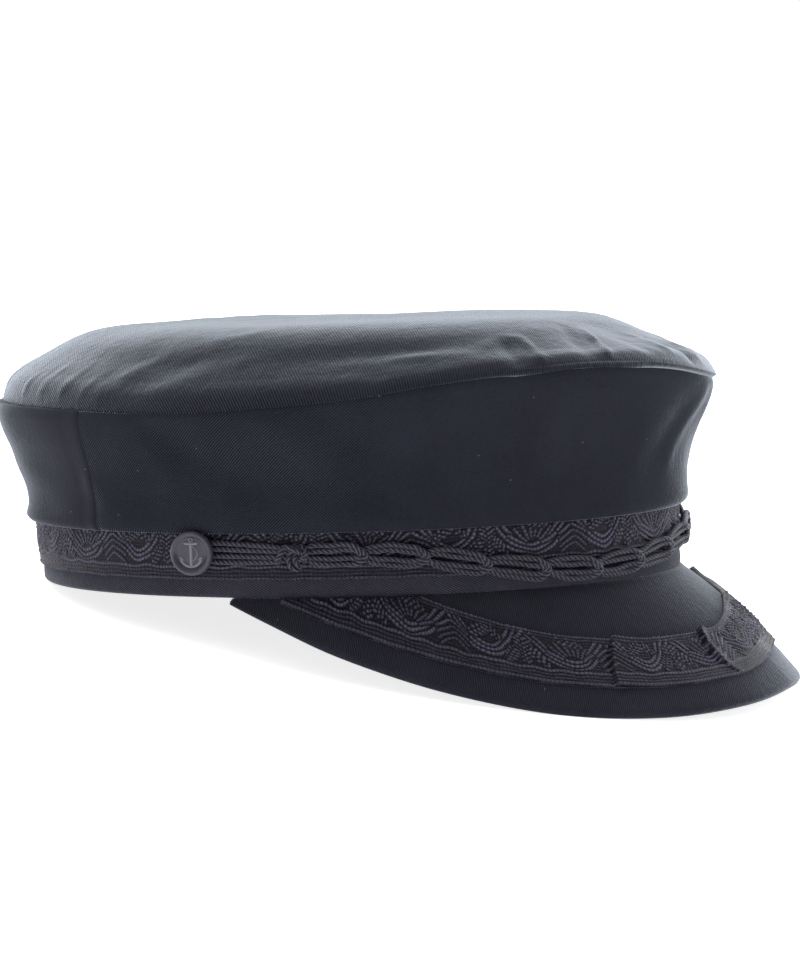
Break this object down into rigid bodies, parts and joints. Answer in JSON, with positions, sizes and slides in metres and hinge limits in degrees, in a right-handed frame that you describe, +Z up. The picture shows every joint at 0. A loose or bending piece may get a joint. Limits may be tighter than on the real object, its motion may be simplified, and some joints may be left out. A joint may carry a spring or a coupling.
{
  "type": "breton fisherman cap",
  "caption": "Soft puffed cloth cap with a woven ribbon round its band, a stiff sloping peak, and a looped cord between anchor buttons.",
  "frame": {"origin": "middle of the cap's outline, on the table that it rests on", "axes": "+Z up, the peak towards -Y, the wearer's right towards -X; the cap tips back as it rests on its peak and the back of its rim"},
  "size_m": [0.202, 0.2732, 0.111],
  "materials": {
    "crown_twill": "matt wool and cotton twill, dark navy",
    "hem_twill": "matt twill, dark navy",
    "peak_twill": "twill over a stiff board, dark navy",
    "ribbon": "woven patterned ribbon, slight sheen, dark navy",
    "cord": "twisted cord, slight sheen, near black",
    "button": "moulded, satin, near black"
  },
  "bodies": {
    "root": {"headband": "hem_twill", "band_braid": "ribbon", "crown_side": "crown_twill", "crown_back": "crown_twill", "crown_top": "crown_twill", "peak": "peak_twill", "peak_braid": "ribbon", "cord_chain": "cord", "button_right": "button", "button_left": "button"}
  },
  "joints": []
}
